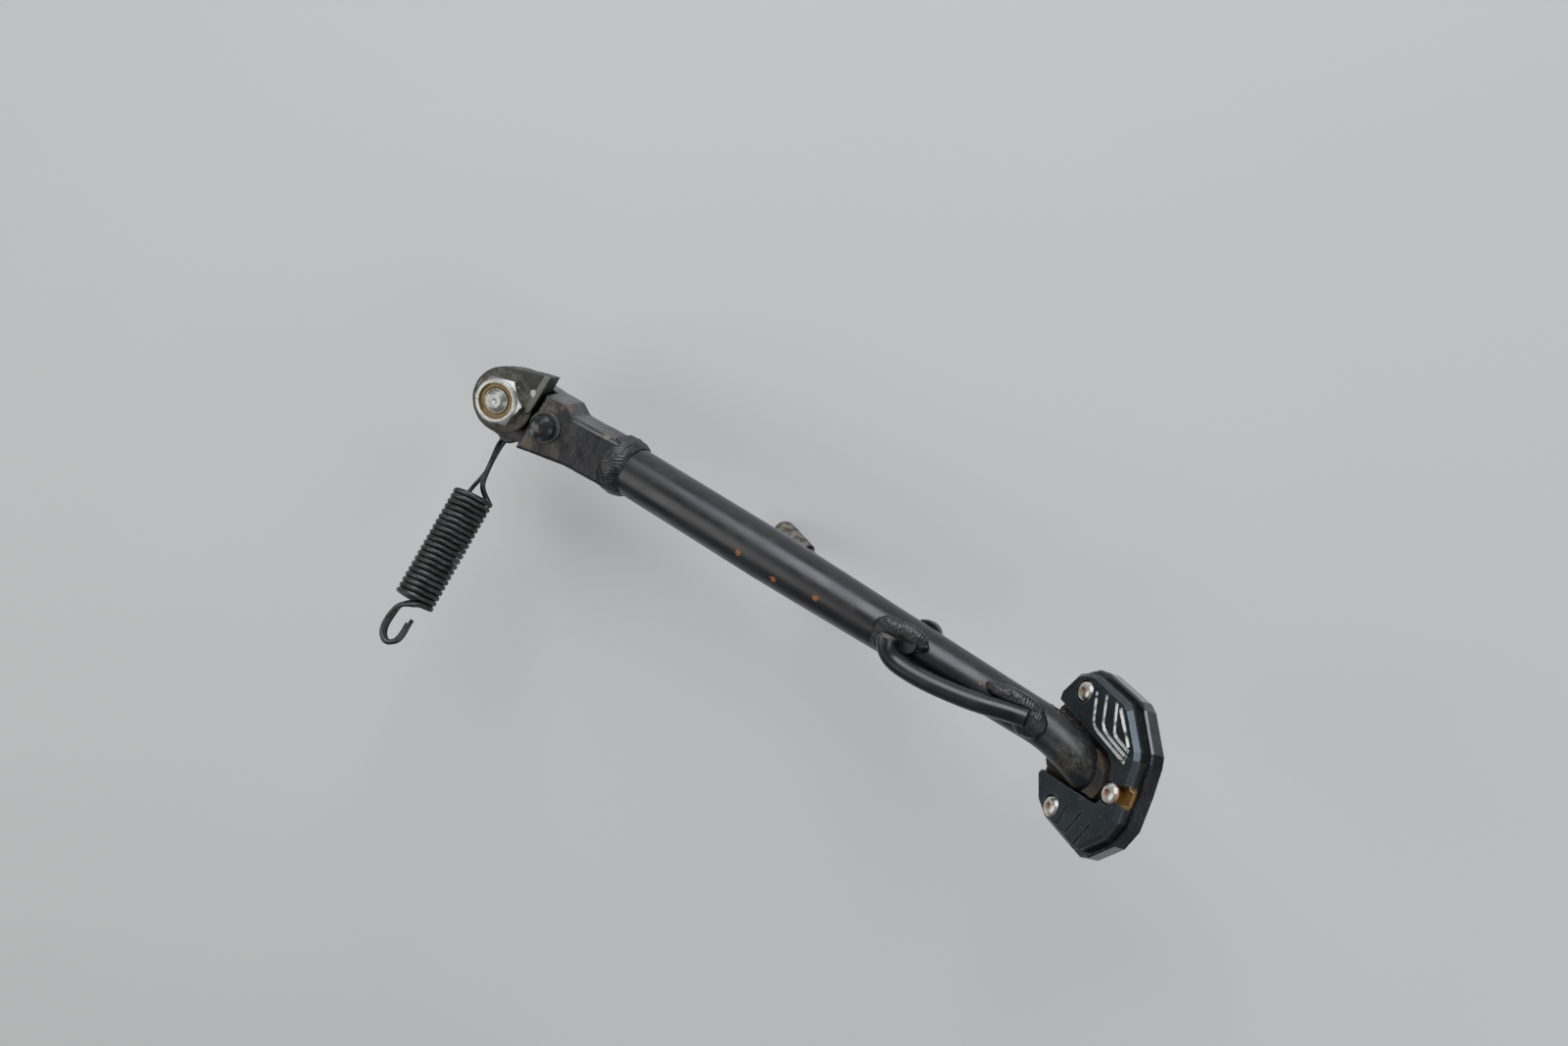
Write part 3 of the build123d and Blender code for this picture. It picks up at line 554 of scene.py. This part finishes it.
def skin(node_name, name, voxel, relax, relief):
    """A closed, finer copy of a CAD node with surface relief, which stands in for it."""
    source = nodes[node_name]
    mesh = source.data.copy()
    bm = bmesh.new()
    bm.from_mesh(mesh)
    bmesh.ops.remove_doubles(bm, verts=bm.verts, dist=2e-6)
    bm.to_mesh(mesh)
    bm.free()
    ob = link_object(name, mesh)
    remesh = ob.modifiers.new("remesh", "REMESH")
    remesh.mode = "VOXEL"
    remesh.voxel_size = voxel * MM * 1.0
    smooth = ob.modifiers.new("relax", "SMOOTH")
    smooth.factor = 0.5
    smooth.iterations = relax
    depsgraph = bpy.context.evaluated_depsgraph_get()
    fine = bpy.data.meshes.new_from_object(ob.evaluated_get(depsgraph))
    ob.modifiers.clear()
    ob.data = fine
    fine.update()
    displace(fine, relief)
    smooth_shade(fine)
    dress(ob, node_name)
    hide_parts(node_name)
    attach(ob, source["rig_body"])


def lumpy(p, scale, octaves, seed):
    """Fractal noise at a point."""
    shifted = Vector((p[0] * scale + seed, p[1] * scale - seed, p[2] * scale + 2.3 * seed))
    return noise.fractal(shifted, 0.9, 2.1, octaves)


def weld_ring(p):
    """Ripples that follow each other round the tube."""
    t = TUBE_INV @ (p * MM) / MM
    angle = math.atan2(t.z, t.y)
    ripple = math.sin(26 * angle + 0.9 * t.x + 0.8 * math.sin(3 * angle))
    return 0.24 * abs(ripple) - 0.10 + 0.30 * lumpy(p, 0.30, 3, 4.0)


def weld_run(p):
    """Ripples that follow each other along the tube, each slightly curved."""
    t = TUBE_INV @ (p * MM) / MM
    ripple = math.sin(2.6 * t.x + 0.06 * t.y * t.y + 0.8 * math.sin(t.x * 0.4))
    return 0.22 * abs(ripple) - 0.08 + 0.28 * lumpy(p, 0.34, 3, 9.0)


def rough_cast(p):
    return 0.13 * lumpy(p, 0.33, 3, 2.0) + 0.05 * lumpy(p, 1.2, 2, 5.0)


def forged(p):
    return 0.16 * lumpy(p, 0.12, 3, 1.0) + 0.035 * lumpy(p, 0.8, 2, 7.0)


def corroded(p):
    return 0.30 * lumpy(p, 0.40, 4, 3.0)


def moulded(p):
    return 0.12 * lumpy(p, 0.35, 3, 6.0)


# CAD node, skin name, voxel size in mm, smoothing passes, relief.
SKINS = [
    ("leg_head", "head_forging", 0.45, 5, forged),
    ("frame_lug", "lug_casting", 0.34, 3, rough_cast),
    ("head_weld", "head_weld_bead", 0.36, 4, weld_ring),
    ("tang_weld_front", "tang_weld_front_bead", 0.30, 5, weld_run),
    ("tang_weld_rear", "tang_weld_rear_bead", 0.30, 5, weld_run),
    ("prong_weld", "prong_weld_bead", 0.30, 4, weld_run),
    ("foot_weld", "foot_weld_bead", 0.30, 3, corroded),
    ("foot_plate", "foot_plate_forging", 0.40, 3, corroded),
    ("prong_cap", "prong_cap_moulding", 0.32, 4, moulded),
]
for entry in SKINS:
    skin(*entry)


# ------------------------------------------------------------ mud and weld spatter
def lumps(name, material, grains, seed):
    """Irregular grains, each a distorted low ball, in one mesh that rides on the leg."""
    draw = random.Random(seed).uniform
    bm = bmesh.new()
    for centre, radius in grains:
        ball = bmesh.ops.create_icosphere(bm, subdivisions=2, radius=1.0)
        offset = draw(0, 50)
        spin = Matrix.Rotation(draw(0, 6.28), 3, "X") @ Matrix.Rotation(draw(0, 6.28), 3, "Z")
        size = Vector((draw(0.8, 1.3), draw(0.7, 1.1), draw(0.5, 0.9)))
        for v in ball["verts"]:
            swell = 1.0 + 0.35 * noise.noise(v.co * 1.7 + Vector((offset, offset, offset)))
            shaped = Vector((v.co.x * size.x, v.co.y * size.y, v.co.z * size.z)) * swell * radius
            v.co = (Vector(centre) + spin @ shaped) * MM
    mesh = bpy.data.meshes.new(name)
    bm.to_mesh(mesh)
    bm.free()
    smooth_shade(mesh)
    ob = link_object(name, mesh)
    mesh.materials.append(material)
    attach(ob, "leg")


def ring_grains(count, angles, spans, sizes, radius_at, shift_at=lambda x: 0.0):
    """Grains round the tube, taking turns between spans of tube X; shift_at moves them in Y."""
    grains = []
    for i in range(count):
        angle = rng.uniform(*angles)
        x = rng.uniform(*spans[i % len(spans)])
        radius = radius_at(x)
        centre = place(TUBE, x, shift_at(x) + radius * math.cos(angle), radius * math.sin(angle))
        grains.append((centre, rng.uniform(*sizes)))
    return grains


def tapered_radius(x):
    return TUBE_NARROW + (TUBE_WIDE - TUBE_NARROW) * max(0.0, (TAPER_END - x) / TAPER_LENGTH)


mud = loose_dirt("dried_mud", light=(0.20, 0.155, 0.10), dark=(0.10, 0.07, 0.045))
# Made as well; no piece wears it.
loose_dirt("rust_flakes", light=(0.24, 0.10, 0.035), dark=(0.10, 0.045, 0.02))

rng = random.Random(11)
tube_mud = ring_grains(60, angles=(-0.6, 3.6), spans=[(236, 256)], sizes=(0.16, 0.42),
                       radius_at=lambda x: 9.55, shift_at=lambda x: -0.35 * max(0.0, x - 246))
lumps("mud_on_tube_end", mud, tube_mud, seed=12)

slot_mud = [(place(FOOT, rng.uniform(-34, -14), rng.uniform(-9, 6), -5.9), rng.uniform(0.2, 0.55))
            for _ in range(70)]
lumps("mud_in_pad_slot", mud, slot_mud, seed=13)

spatter = ring_grains(26, angles=(0.2, 2.6), spans=[(10, 26)], sizes=(0.14, 0.34),
                      radius_at=lambda x: 12.72)
spatter += ring_grains(18, angles=(0.6, 2.2), spans=[(236, 243), (150, 158)],
                       sizes=(0.14, 0.30), radius_at=tapered_radius)
lumps("weld_spatter", MATERIALS["weld"], spatter, seed=14)

# ------------------------------------------------------------ smooth shading for round CAD shapes
ROUND = ("spring_outer", "spring_inner", "leg_tube", "kick_tang", "rest_prong", "stop_stud")
for ob in nodes.values():
    if ob.name in ROUND:
        smooth_shade(ob.data)

# ------------------------------------------------------------ floor
FLOOR_HALF = 3.0
FLOOR_GAP = 0.0006
lowest = min(min((ob.matrix_world @ Vector(c)).z for c in ob.bound_box)
             for ob in bpy.context.scene.objects if ob.type == "MESH")
floor_mesh = bpy.data.meshes.new("floor")
floor_mesh.from_pydata([(x * FLOOR_HALF, y * FLOOR_HALF, 0)
                        for x, y in ((-1, -1), (1, -1), (1, 1), (-1, 1))],
                       [], [(0, 1, 2, 3)])
floor = link_object("floor", floor_mesh)
floor.location = (0.15, 0.0, lowest - FLOOR_GAP)
floor_paint = Material("floor_pale", (0.62, 0.62, 0.61), rough=0.75)
floor_paint.cover(floor_paint.noise(scale=6.0, detail=3.0, rough=0.5), colour=(0.66, 0.66, 0.65))
floor_mesh.materials.append(floor_paint.finish())

# ------------------------------------------------------------ lights and world
LIGHT_TARGET = Vector((0.15, 0, 0))
# Name, place (m), size (m), power (W), colour.
LIGHTS = [
    ("key_sky", (-0.2, 0.95, 0.75), 0.9, 20.0, (0.86, 0.93, 1.0)),
    ("fill_left", (-0.7, -0.4, 0.8), 0.8, 6.0, (1.0, 0.97, 0.93)),
    ("fill_right", (1.0, -0.1, 0.7), 0.7, 5.0, (0.95, 0.97, 1.0)),
]
for name, position, size, power, colour in LIGHTS:
    light = bpy.data.lights.new(name, "AREA")
    light.energy = power
    light.color = colour
    light.size = size
    lamp = link_object(name, light)
    lamp.location = position
    aim = LIGHT_TARGET - Vector(position)
    lamp.rotation_euler = aim.to_track_quat("-Z", "Y").to_euler()

world = bpy.data.worlds.new("studio")
world.use_nodes = True
background = world.node_tree.nodes["Background"]
background.inputs["Color"].default_value = (0.80, 0.84, 0.90, 1)
background.inputs["Strength"].default_value = 0.30
bpy.context.scene.world = world

# ------------------------------------------------------------ camera
CAMERA_PLACE = (0.25208, 0.15890, 0.61588)
CAMERA_RIGHT = Vector((0.86965, 0.42888, -0.24448))
CAMERA_UP = Vector((-0.46853, 0.87307, -0.13503))
CAMERA_FORWARD = Vector((-0.15554, -0.23198, -0.96021))
lens = bpy.data.cameras.new("camera")
lens.lens = 30.375
lens.sensor_width = 36.0
lens.sensor_fit = "HORIZONTAL"
lens.clip_start = 0.01
camera = link_object("camera", lens)
pose = Matrix((CAMERA_RIGHT, CAMERA_UP, -CAMERA_FORWARD)).transposed().to_4x4()
pose.translation = CAMERA_PLACE
camera.matrix_world = pose
bpy.context.scene.camera = camera
